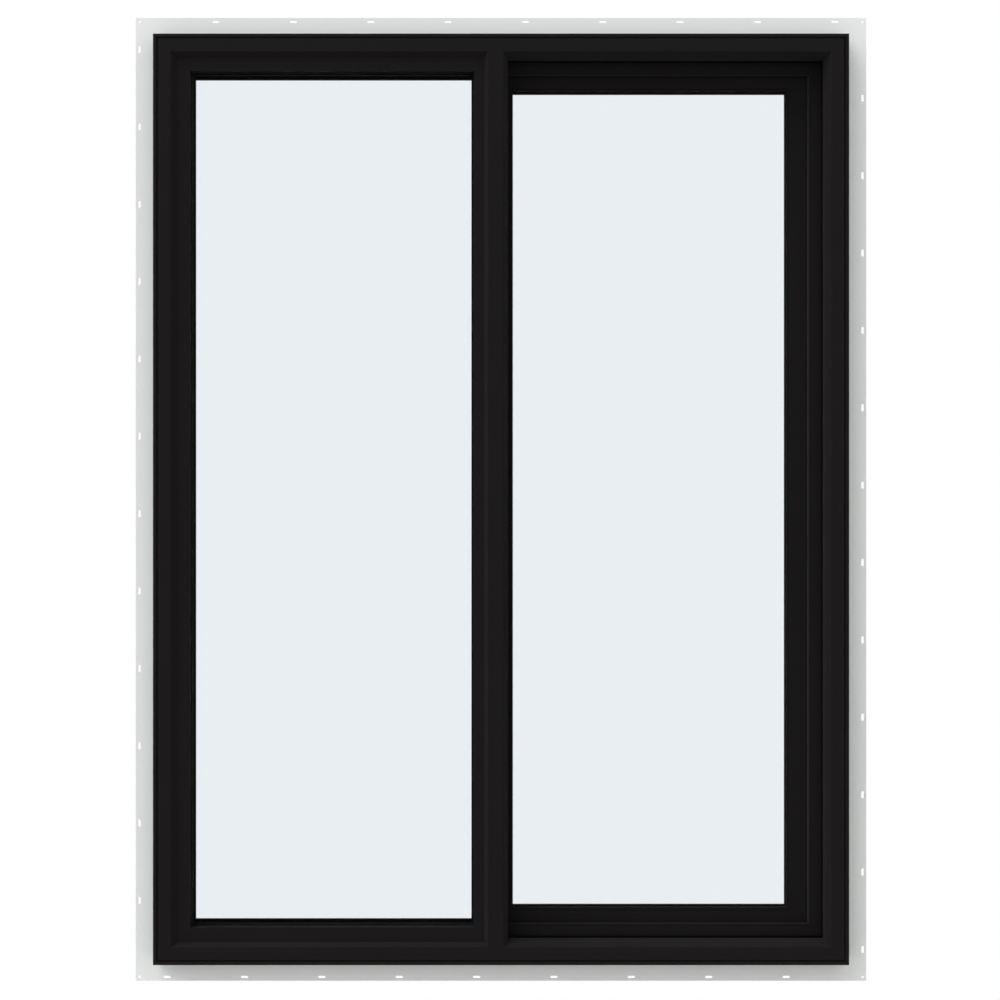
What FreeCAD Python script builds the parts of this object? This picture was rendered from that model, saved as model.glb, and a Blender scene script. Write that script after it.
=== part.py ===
import FreeCAD, Part
import math
import os
import re
import Sketcher
from FreeCAD import Placement, Rotation, Vector

# Horizontal sliding window with a nail fin, in millimetres.
# X runs to the right as seen from outside, Y into the building and Z up.
# The origin lies on the back face of the sill's nail fin, half way along it.
# Depths are measured inwards from the exterior face, reaches inwards from an outer edge.

SIZES = {
    # Outer frame, one mitred vinyl section on all four sides
    "frame_width": 901.7,
    "frame_height": 1206.5,
    "frame_depth": 82.55,
    "rim_width": 3.9,
    "rim_setback": 0.4,
    "shadow_width": 2.3,
    "shadow_depth": 9.0,
    "face_width": 17.2,
    "cove_width": 5.2,
    "cove_depth": 7.5,
    "lip_width": 7.9,
    "lip_depth": 15.0,
    "lip_thick": 2.0,
    "pocket_reach": 26.0,
    "track_reach": 21.0,
    "mid_leg_depth": 35.0,
    "mid_leg_thick": 4.0,
    "mid_leg_reach": 47.0,
    "root_reach": 30.2,
    "root_depth": 2.5,
    "nose_width": 3.2,
    "nose_line": 0.7,
    "nose_line_depth": 0.8,
    "nose_round": 1.7,
    "inner_leg_thick": 5.55,
    "inner_leg_reach": 43.2,
    "face_round": 1.6,
    "edge_round": 0.6,
    "rim_round": 0.3,
    # Nail fin, a thin strip pressed into a groove of the frame
    "fin_width": 28.575,
    "fin_setback": 34.925,
    "fin_thick": 1.6,
    "fin_leg": 4.0,
    "fin_step": 0.4,
    "slot_length": 9.7,
    "slot_width": 3.6,
    "slot_edge": 4.7,
    "slot_first": 105.1,
    "slot_pitch": 101.6,
    "slot_last_gap": 30.0,
    "corner_hole": 3.6,
    # Fixed meeting stile between the two lights
    "mullion_edge": 9.0,
    "mullion_face": 20.1,
    "mullion_slope": 5.8,
    "mullion_slope_depth": 8.3,
    "mullion_leg": 22.0,
    # Glass units and what holds them
    "pane_thick": 3.0,
    "air_gap": 12.0,
    "glass_gap": 4.1,
    "gasket_thick": 1.0,
    "fixed_lip": 1.6,
    "sash_lip": 1.0,
    "tape_thick": 1.6,
    "tape_width": 9.0,
    "spacer_inset": 1.5,
    "spacer_width": 6.0,
    "bead_reach": 23.9,
    "mullion_bead_reach": 18.1,
    "bead_wall": 2.3,
    "bead_hook": 2.0,
    "block_length": 60.0,
    # Sliding sash
    "sash_face": 36.6,
    "sash_depth": 31.0,
    "sash_front": 43.5,
    "sash_leg": 4.3,
    "rebate_reach": 22.0,
    "rebate_gap": 2.0,
    "line_inset": 2.0,
    "line_width": 0.8,
    "line_depth": 1.0,
    "head_gap": 28.7,
    "sill_gap": 28.7,
    "jamb_gap": 38.2,
    "stile_show": 5.6,
    "guide_depth": 11.0,
    "guide_width": 10.0,
    "sash_bead_reach": 13.7,
    "sash_bead_slope": 1.2,
    "pile_inset": 4.0,
    "pile_width": 5.0,
    "running_gap": 0.3,
    # Rollers, rail and stops
    "rail_height": 4.0,
    "rail_width": 3.0,
    "rail_foot": 11.0,
    "rail_foot_thick": 1.0,
    "wheel_radius": 6.0,
    "wheel_width": 4.0,
    "axle_radius": 1.5,
    "carriage_length": 62.0,
    "carriage_inset": 60.0,
    "carriage_clear": 0.3,
    "wheel_clear": 1.0,
    "stop_length": 40.0,
    "stop_width": 18.0,
    "stop_inset": 90.0,
    # Interlock, lock and pull
    "interlock_reach": 4.0,
    "interlock_wall": 1.0,
    "interlock_lap": 1.0,
    "lock_height": 80.0,
    "lock_width": 18.0,
    "lock_thick": 9.0,
    "lock_bevel": 2.2,
    "tongue_thick": 2.5,
    "tongue_width": 12.0,
    "lever_length": 26.0,
    "lever_root": 6.5,
    "lever_tip": 3.5,
    "lever_thick": 4.0,
    "lever_bevel": 1.0,
    "keeper_height": 34.0,
    "keeper_width": 9.0,
    "keeper_thick": 1.2,
    "keeper_rise": 3.6,
    "keeper_gap": 0.5,
    "keeper_notch": 3.0,
    "pull_inset": 15.0,
    "pull_width": 12.0,
    "pull_wall": 3.0,
    "pull_out": 13.0,
    "pull_ends": 60.0,
    "pull_round": 1.0,
}

doc = FreeCAD.newDocument("sliding_window")
dims = doc.addObject("Spreadsheet::Sheet", "dims")
for row, (alias, number) in enumerate(SIZES.items(), start=1):
    dims.set(f"A{row}", alias)
    dims.set(f"B{row}", str(number))
    dims.setAlias(f"B{row}", alias)
doc.recompute()

# Places that several pieces share, as formulas of the sheet's sizes
LEFT = "(-frame_width / 2)"
RIGHT = "(frame_width / 2)"
BOTTOM = "(fin_width / 2)"
TOP = "(fin_width / 2 + frame_height)"
FACE_END = "(rim_width + shadow_width + face_width)"
LIP = f"({FACE_END} + lip_width)"
LIP_BACK = "(lip_depth + lip_thick)"
MID_BACK = "(mid_leg_depth + mid_leg_thick)"
TRACK_BACK = "(frame_depth - inner_leg_thick)"
GLASS_THICK = "(2 * pane_thick + air_gap)"
MULLION_SIDE = "(mullion_edge - mullion_slope - mullion_face)"
BEAD_BACK = f"(mid_leg_depth - tape_thick - {GLASS_THICK} - gasket_thick)"
SASH_LEFT = "(mullion_edge + stile_show - sash_face)"
SASH_RIGHT = f"({RIGHT} - jamb_gap)"
SASH_BOTTOM = f"({BOTTOM} + sill_gap)"
SASH_TOP = f"({TOP} - head_gap)"
SASH_BACK = "(sash_front + sash_depth)"
SASH_GLASS = "(sash_front + sash_leg + gasket_thick)"
GLASS_EDGE = "(rebate_reach + rebate_gap)"
MID_HEIGHT = f"(({BOTTOM} + {TOP}) / 2)"

# Turns about Y that stand a bar, modelled upright, along each side of a rectangle
LEFT_SIDE = 0
TOP_SIDE = 90
RIGHT_SIDE = 180
BOTTOM_SIDE = 270

nodes = []


def formula(text):
    """Put the sheet's name before each size in a formula."""
    return re.sub(r"[a-z_]+", lambda word: f"dims.{word[0]}" if word[0] in SIZES else word[0], text)


def value(text):
    """Work a formula out as a number of millimetres."""
    return float(dims.evalExpression(formula(text)))


def bind(item, prop, text):
    """Tie a property of an object to a formula of the sheet."""
    item.setExpression(prop, formula(text))


def place(item, x, depth, z):
    """Tie an object's place to formulas, with its depth from the exterior face."""
    bind(item, ".Placement.Base.x", x)
    bind(item, ".Placement.Base.y", f"{depth} - fin_setback")
    bind(item, ".Placement.Base.z", z)


def node(item, name):
    """Name an object as a finished piece of the window."""
    item.Label = name
    nodes.append(item)
    return item


def origin_plane(body, role):
    """Find one of a body's own origin planes or axes."""
    return next(item for item in body.Origin.OriginFeatures if item.Role == role)


def new_sketch(body, name, role):
    """Start a sketch on one of a body's origin planes."""
    sketch = body.newObject("Sketcher::SketchObject", name)
    sketch.AttachmentSupport = [(origin_plane(body, role), "")]
    sketch.MapMode = "FlatFace"
    return sketch


def fix_point(sketch, edge, end, across, up):
    """Tie one end of a sketch's edge to a pair of formulas."""
    for kind, text, axis in (("DistanceX", across, -2), ("DistanceY", up, -1)):
        if text == "0":
            sketch.addConstraint(Sketcher.Constraint("PointOnObject", edge, end, axis))
        else:
            rule = Sketcher.Constraint(kind, -1, 1, edge, end, value(text))
            index = sketch.addConstraint(rule)
            sketch.setExpression(f"Constraints[{index}]", formula(text))


def fix_radius(sketch, edge, text):
    """Tie the radius of a sketch's circle or arc to a formula."""
    index = sketch.addConstraint(Sketcher.Constraint("Radius", edge, value(text)))
    sketch.setExpression(f"Constraints[{index}]", formula(text))


def draw_outline(sketch, corners):
    """Draw a closed outline with straight edges through corners given as formulas."""
    first = sketch.GeometryCount
    count = len(corners)
    spots = [Vector(value(across), value(up), 0) for across, up in corners]
    for index in range(count):
        line = Part.LineSegment(spots[index], spots[(index + 1) % count])
        sketch.addGeometry(line, False)
    for index in range(count):
        after = first + (index + 1) % count
        sketch.addConstraint(Sketcher.Constraint("Coincident", first + index, 2, after, 1))
    for index, (across, up) in enumerate(corners):
        fix_point(sketch, first + index, 1, across, up)


def draw_capsule(sketch, across, low, high, low_radius, high_radius):
    """Draw two round ends, one above the other, joined by tangent sides."""
    first = sketch.GeometryCount
    bottom = Vector(value(across), value(low), 0)
    top = Vector(value(across), value(high), 0)
    small = value(high_radius)
    large = value(low_radius)
    lean = math.asin((large - small) / (top - bottom).Length)
    right = Vector(math.cos(lean), math.sin(lean), 0)
    left = Vector(-math.cos(lean), math.sin(lean), 0)
    rise = Vector(0, 1, 0)
    sketch.addGeometry(Part.LineSegment(bottom + right * large, top + right * small), False)
    over = Part.Arc(top + right * small, top + rise * small, top + left * small)
    sketch.addGeometry(over, False)
    sketch.addGeometry(Part.LineSegment(top + left * small, bottom + left * large), False)
    under = Part.Arc(bottom + left * large, bottom - rise * large, bottom + right * large)
    sketch.addGeometry(under, False)
    for index in range(4):
        after = first + (index + 1) % 4
        sketch.addConstraint(Sketcher.Constraint("Tangent", first + index, 2, after, 1))
    for arc, up, radius in ((1, high, high_radius), (3, low, low_radius)):
        fix_point(sketch, first + arc, 3, across, up)
        fix_radius(sketch, first + arc, radius)


def pocket_through(body, name, sketch):
    """Cut a sketch right through its body on both sides of its plane."""
    before = body.Tip.Shape.Volume
    pocket = body.newObject("PartDesign::Pocket", name)
    pocket.Profile = sketch
    pocket.Type = "ThroughAll"
    pocket.SideType = "Symmetric"
    doc.recompute()
    if pocket.Shape.Volume >= before:
        raise RuntimeError(f"{name} cuts nothing")
    return pocket


def round_edges(body, name, radius, spots):
    """Round the edges that run along a bar through the given spots of its section."""
    found = []
    base = body.Tip
    for across, up in spots:
        wanted = Vector(value(across), value(up), 0)
        for index, edge in enumerate(base.Shape.Edges, start=1):
            ends = [Vector(vertex.X, vertex.Y, 0) for vertex in edge.Vertexes]
            if len(ends) == 2 and all(end.distanceToPoint(wanted) < 0.01 for end in ends):
                found.append(f"Edge{index}")
    fillet = body.newObject("PartDesign::Fillet", name)
    fillet.Base = (base, found)
    bind(fillet, "Radius", radius)
    doc.recompute()


def bar(name, side, corner, length, section, rounds=(), mitre=None, ends=(True, True)):
    """Extrude a section along one side of a rectangle and mitre its ends.

    The section's first measure is the reach in from the outer edge, its second the depth.
    """
    body = doc.addObject("PartDesign::Body", name)
    sketch = new_sketch(body, f"{name}_section", "XY_Plane")
    draw_outline(sketch, section)
    pad = body.newObject("PartDesign::Pad", f"{name}_run")
    pad.Profile = sketch
    bind(pad, "Length", length)
    doc.recompute()
    for number, (radius, spots) in enumerate(rounds, start=1):
        round_edges(body, f"{name}_round_{number}", radius, spots)
    if mitre:
        cuts = new_sketch(body, f"{name}_mitre", "XZ_Plane")
        if ends[0]:
            draw_outline(cuts, [("0", "0"), (mitre, "0"), (mitre, mitre)])
        if ends[1]:
            draw_outline(cuts, [("0", length), (mitre, length), (mitre, f"{length} - {mitre}")])
        pocket_through(body, f"{name}_mitred", cuts)
    body.Placement = Placement(Vector(), Rotation(Vector(0, 1, 0), side))
    place(body, corner[0], "0", corner[1])
    return body


def four_bars(names, left, right, bottom, top, section, rounds, mitre):
    """Frame a rectangle with four mitred bars, named left, top, right and bottom."""
    width = f"({right} - {left})"
    height = f"({top} - {bottom})"
    runs = (
        (LEFT_SIDE, (left, bottom), height),
        (TOP_SIDE, (left, top), width),
        (RIGHT_SIDE, (right, top), height),
        (BOTTOM_SIDE, (right, bottom), width),
    )
    bars = []
    for name, (side, corner, length) in zip(names, runs):
        bars.append(bar(name, side, corner, length, section, rounds, mitre))
    return bars


def block(name, x, depth, z):
    """Make a box between pairs of formulas for its x, depth and z."""
    box = doc.addObject("Part::Box", name)
    bind(box, "Length", f"{x[1]} - ({x[0]})")
    bind(box, "Width", f"{depth[1]} - ({depth[0]})")
    bind(box, "Height", f"{z[1]} - ({z[0]})")
    place(box, x[0], depth[0], z[0])
    return box


def cut(name, base, *tools):
    """Cut tools out of a base object."""
    tool = tools[0] if len(tools) == 1 else fuse(f"{name}_tools", *tools)
    result = doc.addObject("Part::Cut", name)
    result.Base = base
    result.Tool = tool
    return result


def fuse(name, *shapes):
    """Join objects, or group them where they stand apart."""
    result = doc.addObject("Part::MultiFuse", name)
    result.Shapes = list(shapes)
    return result


def ring(name, x, depth, z, width):
    """Make a rectangular ring of the given width, open through its depth."""
    outer = block(f"{name}_outer", x, depth, z)
    inner = block(
        f"{name}_inner",
        (f"{x[0]} + {width}", f"{x[1]} - {width}"),
        depth,
        (f"{z[0]} + {width}", f"{z[1]} - {width}"),
    )
    return cut(name, outer, inner)


def nose(reach):
    """Give the points of a mid leg's tip, with the fine line cut behind its nose."""
    line_end = f"({reach} - nose_width)"
    return [
        (f"{line_end} - nose_line", "mid_leg_depth"),
        (f"{line_end} - nose_line", "mid_leg_depth + nose_line_depth"),
        (line_end, "mid_leg_depth + nose_line_depth"),
        (line_end, "mid_leg_depth"),
        (reach, "mid_leg_depth"),
        (reach, MID_BACK),
    ]


# Outer frame
frame_section = [
    ("0", "rim_setback"),
    ("rim_width", "rim_setback"),
    ("rim_width", "shadow_depth"),
    ("rim_width + shadow_width", "shadow_depth"),
    ("rim_width + shadow_width", "0"),
    (FACE_END, "0"),
    (f"{FACE_END} + cove_width", "cove_depth"),
    (LIP, "lip_depth"),
    (LIP, LIP_BACK),
    ("pocket_reach", LIP_BACK),
    ("pocket_reach", "mid_leg_depth + root_depth"),
    ("root_reach", "mid_leg_depth + root_depth"),
    ("root_reach", "mid_leg_depth"),
    *nose("mid_leg_reach"),
    ("track_reach", MID_BACK),
    ("track_reach", TRACK_BACK),
    ("inner_leg_reach", TRACK_BACK),
    ("inner_leg_reach", "frame_depth"),
    ("0", "frame_depth"),
    ("0", "fin_setback - fin_step"),
    ("fin_leg", "fin_setback - fin_step"),
    ("fin_leg", "fin_setback - fin_thick"),
    ("0", "fin_setback - fin_thick"),
]
frame_rounds = [
    ("face_round", [(FACE_END, "0")]),
    ("nose_round", [("mid_leg_reach", "mid_leg_depth"), ("mid_leg_reach", MID_BACK)]),
    ("rim_round", [("0", "rim_setback")]),
    ("edge_round", [("rim_width + shadow_width", "0"), ("inner_leg_reach", "frame_depth")]),
]
frame_names = ("frame_jamb_fixed", "frame_head", "frame_jamb_sash", "frame_sill")
frame = four_bars(
    frame_names, LEFT, RIGHT, BOTTOM, TOP, frame_section, frame_rounds, "mid_leg_reach"
)
for name, item in zip(frame_names, frame):
    node(item, name)
jamb_fixed, head, jamb_sash, sill = frame

# Fixed meeting stile, coped over the head and the sill
mullion_left = "(mullion_slope + mullion_face)"
mullion_section = [
    ("mullion_slope", "0"),
    (mullion_left, "0"),
    (f"{mullion_left} + cove_width", "cove_depth"),
    (f"{mullion_left} + lip_width", "lip_depth"),
    (f"{mullion_left} + lip_width", LIP_BACK),
    (f"{mullion_left} + pocket_reach - {FACE_END}", LIP_BACK),
    (f"{mullion_left} + pocket_reach - {FACE_END}", "mid_leg_depth"),
    *nose(f"({mullion_left} + mullion_leg)"),
    ("0", MID_BACK),
    ("0", "mullion_slope_depth"),
]
mullion_rounds = [
    ("face_round", [("mullion_slope", "0"), (mullion_left, "0")]),
    (
        "nose_round",
        [
            (f"{mullion_left} + mullion_leg", "mid_leg_depth"),
            (f"{mullion_left} + mullion_leg", MID_BACK),
        ],
    ),
]
mullion_end = f"({FACE_END} - face_round)"
mullion_bar = bar(
    "mullion_bar", RIGHT_SIDE, ("mullion_edge", f"{TOP} - {mullion_end}"),
    f"(frame_height - 2 * {mullion_end})", mullion_section, mullion_rounds,
)
leg_x = (
    f"(mullion_edge - {mullion_left} - mullion_leg)",
    f"(mullion_edge - {mullion_left} - pocket_reach + {FACE_END})",
)
leg_depth = ("mid_leg_depth", MID_BACK)
copes = [
    block("mullion_cope_head", leg_x, leg_depth, (f"({TOP} - mid_leg_reach)", TOP)),
    block("mullion_cope_sill", leg_x, leg_depth, (BOTTOM, f"({BOTTOM} + mid_leg_reach)")),
]
mullion = node(cut("mullion", mullion_bar, head, sill, *copes), "mullion")

# Nail fin, four strips mitred at the corners, with slots along the outer edge
fin_names = ("nail_fin_left", "nail_fin_head", "nail_fin_right", "nail_fin_sill")
fin_section = [
    ("0", "fin_setback - fin_thick"),
    ("fin_width + fin_leg", "fin_setback - fin_thick"),
    ("fin_width + fin_leg", "fin_setback - fin_step"),
    ("fin_width", "fin_setback - fin_step"),
    ("fin_width", "fin_setback"),
    ("0", "fin_setback"),
]
fins = four_bars(
    fin_names,
    f"({LEFT} - fin_width)", f"({RIGHT} + fin_width)",
    f"({BOTTOM} - fin_width)", f"({TOP} + fin_width)",
    fin_section, [], "(fin_width + fin_leg)",
)


def slot_strip(body, length):
    """Cut a row of nailing slots and the two corner holes in a strip of nail fin."""
    name = body.Name
    half = "(slot_length - slot_width) / 2"
    sketch = new_sketch(body, f"{name}_slot", "XZ_Plane")
    draw_capsule(
        sketch, "slot_edge", f"slot_first - {half}", f"slot_first + {half}",
        "slot_width / 2", "slot_width / 2",
    )
    pocket = pocket_through(body, f"{name}_slots", sketch)
    row = body.newObject("PartDesign::LinearPattern", f"{name}_row")
    row.Originals = [pocket]
    row.Direction = (origin_plane(body, "Z_Axis"), [""])
    count = f"(floor(({length} - slot_first - slot_last_gap) / slot_pitch) + 1)"
    bind(row, "Occurrences", count)
    bind(row, "Length", f"({count} - 1) * slot_pitch")
    body.Tip = row
    doc.recompute()
    holes = new_sketch(body, f"{name}_corner", "XZ_Plane")
    for number, up in enumerate(("slot_edge", f"{length} - slot_edge")):
        centre = Vector(value("slot_edge"), value(up), 0)
        holes.addGeometry(Part.Circle(centre, Vector(0, 0, 1), value("corner_hole / 2")), False)
        fix_point(holes, number, 3, "slot_edge", up)
        fix_radius(holes, number, "corner_hole / 2")
    pocket_through(body, f"{name}_corners", holes)


fin_height = "(frame_height + 2 * fin_width)"
fin_run = "(frame_width + 2 * fin_width)"
for name, strip, length in zip(fin_names, fins, (fin_height, fin_run, fin_height, fin_run)):
    slot_strip(strip, length)
    node(strip, name)

# Fixed light: exterior glazing beads hooked under the lips of the frame and mullion


def bead_section(reach):
    """Give the section of a fixed light's bead, measured from the edge of the flat face."""
    return [
        ("cove_width", "cove_depth"),
        (reach, "cove_depth"),
        (reach, BEAD_BACK),
        ("lip_width + bead_wall", BEAD_BACK),
        ("lip_width + bead_wall", f"{LIP_BACK} + bead_hook"),
        ("lip_width - bead_hook", f"{LIP_BACK} + bead_hook"),
        ("lip_width - bead_hook", LIP_BACK),
        ("lip_width", LIP_BACK),
        ("lip_width", "lip_depth"),
    ]


def bead_rounds(reach):
    """Round the two corners of a bead's nose."""
    return [("edge_round", [(reach, "cove_depth"), (reach, BEAD_BACK)])]


bead_left = f"({LEFT} + {FACE_END})"
bead_bottom = f"({BOTTOM} + {FACE_END})"
bead_top = f"({TOP} - {FACE_END})"
bead_width = f"({MULLION_SIDE} - {bead_left})"
bead_height = f"({bead_top} - {bead_bottom})"
frame_bead = bead_section("bead_reach")
frame_bead_rounds = bead_rounds("bead_reach")
bead_jamb = bar(
    "fixed_bead_jamb", LEFT_SIDE, (bead_left, bead_bottom), bead_height,
    frame_bead, frame_bead_rounds, "bead_reach",
)
node(bead_jamb, "fixed_bead_jamb")
bead_head_bar = bar(
    "fixed_bead_head_bar", TOP_SIDE, (bead_left, bead_top), bead_width,
    frame_bead, frame_bead_rounds, "bead_reach", (True, False),
)
node(cut("fixed_bead_head", bead_head_bar, mullion), "fixed_bead_head")
bead_sill_bar = bar(
    "fixed_bead_sill_bar", BOTTOM_SIDE, (MULLION_SIDE, bead_bottom), bead_width,
    frame_bead, frame_bead_rounds, "bead_reach", (False, True),
)
node(cut("fixed_bead_sill", bead_sill_bar, mullion), "fixed_bead_sill")
bead_mullion = bar(
    "fixed_bead_mullion", RIGHT_SIDE, (MULLION_SIDE, f"{bead_top} - bead_reach"),
    f"{bead_height} - 2 * bead_reach",
    bead_section("mullion_bead_reach"), bead_rounds("mullion_bead_reach"),
)
node(bead_mullion, "fixed_bead_mullion")


def glass_unit(prefix, x, front, z, open_x, open_z):
    """Make two panes, their spacer and a gasket whose lip shows round the opening."""
    back = f"{front} + {GLASS_THICK}"
    gap = (f"{front} + pane_thick", f"{front} + pane_thick + air_gap")
    node(block(f"{prefix}_glass_outer", x, (front, gap[0]), z), f"{prefix}_glass_outer")
    node(block(f"{prefix}_glass_inner", x, (gap[1], back), z), f"{prefix}_glass_inner")
    inset_x = (f"{x[0]} + spacer_inset", f"{x[1]} - spacer_inset")
    inset_z = (f"{z[0]} + spacer_inset", f"{z[1]} - spacer_inset")
    spacer = ring(f"{prefix}_spacer", inset_x, gap, inset_z, "spacer_width")
    node(spacer, f"{prefix}_spacer")
    gasket_depth = (f"{front} - gasket_thick", front)
    gasket_edge = block(f"{prefix}_gasket_edge", inset_x, gasket_depth, inset_z)
    gasket_hole = block(
        f"{prefix}_gasket_hole",
        (f"({open_x[0]} + {prefix}_lip)", f"({open_x[1]} - {prefix}_lip)"),
        gasket_depth,
        (f"({open_z[0]} + {prefix}_lip)", f"({open_z[1]} - {prefix}_lip)"),
    )
    node(cut(f"{prefix}_gasket", gasket_edge, gasket_hole), f"{prefix}_gasket")


fixed_front = f"({BEAD_BACK} + gasket_thick)"
fixed_x = (f"({LEFT} + {LIP} + glass_gap)", f"({MULLION_SIDE} - lip_width - glass_gap)")
fixed_z = (f"({BOTTOM} + {LIP} + glass_gap)", f"({TOP} - {LIP} - glass_gap)")
fixed_open_x = (f"({bead_left} + bead_reach)", f"({MULLION_SIDE} - mullion_bead_reach)")
fixed_open_z = (f"({bead_bottom} + bead_reach)", f"({bead_top} - bead_reach)")
glass_unit("fixed", fixed_x, fixed_front, fixed_z, fixed_open_x, fixed_open_z)
tape_depth = ("(mid_leg_depth - tape_thick)", "mid_leg_depth")
node(ring("fixed_tape", fixed_x, tape_depth, fixed_z, "tape_width"), "fixed_tape")


def setting_block(name, centre, depth, bottom, top):
    """Stand one end of a glass unit on a hard rubber block."""
    x = (f"({centre} - block_length / 2)", f"({centre} + block_length / 2)")
    return block(name, x, depth, (bottom, top))


fixed_span = f"({fixed_x[1]} - {fixed_x[0]})"
fixed_depth = (f"({LIP_BACK} + bead_hook)", f"({fixed_front} + {GLASS_THICK})")
fixed_floor = f"({BOTTOM} + pocket_reach)"
fixed_blocks = [
    setting_block(
        f"fixed_block_{side}", f"({fixed_x[0]} + {share} * {fixed_span})",
        fixed_depth, fixed_floor, fixed_z[0],
    )
    for side, share in (("left", 0.25), ("right", 0.75))
]
node(fuse("fixed_setting_blocks", *fixed_blocks), "fixed_setting_blocks")

# Sliding sash, mitred like the frame, with its glass held by interior beads
sash_names = ("sash_stile_meeting", "sash_rail_head", "sash_stile_jamb", "sash_rail_sill")
guide_front = "(sash_front + (sash_depth - guide_width) / 2)"
line_start = "(sash_face - line_inset - line_width)"
sash_section = [
    ("0", "sash_front"),
    (line_start, "sash_front"),
    (line_start, "sash_front + line_depth"),
    (f"{line_start} + line_width", "sash_front + line_depth"),
    (f"{line_start} + line_width", "sash_front"),
    ("sash_face", "sash_front"),
    ("sash_face", "sash_front + sash_leg"),
    ("rebate_reach", "sash_front + sash_leg"),
    ("rebate_reach", SASH_BACK),
    ("0", SASH_BACK),
    ("0", f"{guide_front} + guide_width"),
    ("guide_depth", f"{guide_front} + guide_width"),
    ("guide_depth", guide_front),
    ("0", guide_front),
]
sash_rounds = [
    (
        "edge_round",
        [
            ("0", "sash_front"),
            ("sash_face", "sash_front"),
            ("0", SASH_BACK),
        ],
    ),
]
sash = four_bars(
    sash_names, SASH_LEFT, SASH_RIGHT, SASH_BOTTOM, SASH_TOP,
    sash_section, sash_rounds, "sash_face",
)
for name, item in zip(sash_names, sash):
    node(item, name)

sash_bead_names = ("sash_bead_meeting", "sash_bead_head", "sash_bead_jamb", "sash_bead_sill")
sash_bead_front = f"({SASH_GLASS} + {GLASS_THICK})"
sash_bead_section = [
    ("0", sash_bead_front),
    ("sash_bead_reach", sash_bead_front),
    ("sash_bead_reach", f"{SASH_BACK} - sash_bead_slope"),
    ("sash_bead_reach - sash_bead_slope", SASH_BACK),
    ("0", SASH_BACK),
]
sash_beads = four_bars(
    sash_bead_names,
    f"({SASH_LEFT} + rebate_reach)", f"({SASH_RIGHT} - rebate_reach)",
    f"({SASH_BOTTOM} + rebate_reach)", f"({SASH_TOP} - rebate_reach)",
    sash_bead_section, [], "sash_bead_reach",
)
for name, item in zip(sash_bead_names, sash_beads):
    node(item, name)

sash_x = (f"({SASH_LEFT} + {GLASS_EDGE})", f"({SASH_RIGHT} - {GLASS_EDGE})")
sash_z = (f"({SASH_BOTTOM} + {GLASS_EDGE})", f"({SASH_TOP} - {GLASS_EDGE})")
sash_open_x = (f"({SASH_LEFT} + sash_face)", f"({SASH_RIGHT} - sash_face)")
sash_open_z = (f"({SASH_BOTTOM} + sash_face)", f"({SASH_TOP} - sash_face)")
glass_unit("sash", sash_x, SASH_GLASS, sash_z, sash_open_x, sash_open_z)
sash_span = f"({sash_x[1]} - {sash_x[0]})"
sash_blocks = [
    setting_block(
        f"sash_block_{side}", f"({sash_x[0]} + {share} * {sash_span})",
        (SASH_GLASS, sash_bead_front), f"({SASH_BOTTOM} + rebate_reach)", sash_z[0],
    )
    for side, share in (("left", 0.25), ("right", 0.75))
]
node(fuse("sash_setting_blocks", *sash_blocks), "sash_setting_blocks")

# Pile weatherstrips on the sash, brushing the legs of the track
pile_x = (f"({SASH_LEFT} + pile_inset)", f"({SASH_RIGHT} - pile_inset)")
pile_z = (f"({SASH_BOTTOM} + pile_inset)", f"({SASH_TOP} - pile_inset)")
outer_pile = (f"({MID_BACK} + running_gap)", "sash_front")
node(ring("pile_exterior", pile_x, outer_pile, pile_z, "pile_width"), "pile_exterior")
inner_pile = (SASH_BACK, f"({TRACK_BACK} - running_gap)")
inner_ring = ring("pile_interior_ring", pile_x, inner_pile, pile_z, "pile_width")
pile_gap = block(
    "pile_interior_gap",
    (f"({SASH_LEFT} - pile_width)", f"({pile_x[0]} + pile_width)"),
    inner_pile,
    (f"({pile_z[0]} + pile_width)", f"({pile_z[1]} - pile_width)"),
)
node(cut("pile_interior", inner_ring, pile_gap), "pile_interior")

# Rail on the sill's track, and two roller carriages let into the sash's bottom rail,
# each notched from below for the axle of its wheel
TRACK_FLOOR = f"({BOTTOM} + track_reach)"
rail_middle = "(sash_front + sash_depth / 2)"
rail_section = [
    ("0", f"{rail_middle} - rail_foot / 2"),
    ("rail_foot_thick", f"{rail_middle} - rail_foot / 2"),
    ("rail_foot_thick", f"{rail_middle} - rail_width / 2"),
    ("rail_height", f"{rail_middle} - rail_width / 2"),
    ("rail_height", f"{rail_middle} + rail_width / 2"),
    ("rail_foot_thick", f"{rail_middle} + rail_width / 2"),
    ("rail_foot_thick", f"{rail_middle} + rail_foot / 2"),
    ("0", f"{rail_middle} + rail_foot / 2"),
]
rail = bar(
    "roller_rail", BOTTOM_SIDE, (f"({RIGHT} - track_reach)", TRACK_FLOOR),
    "(frame_width - 2 * track_reach)", rail_section,
)
node(rail, "roller_rail")

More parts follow.
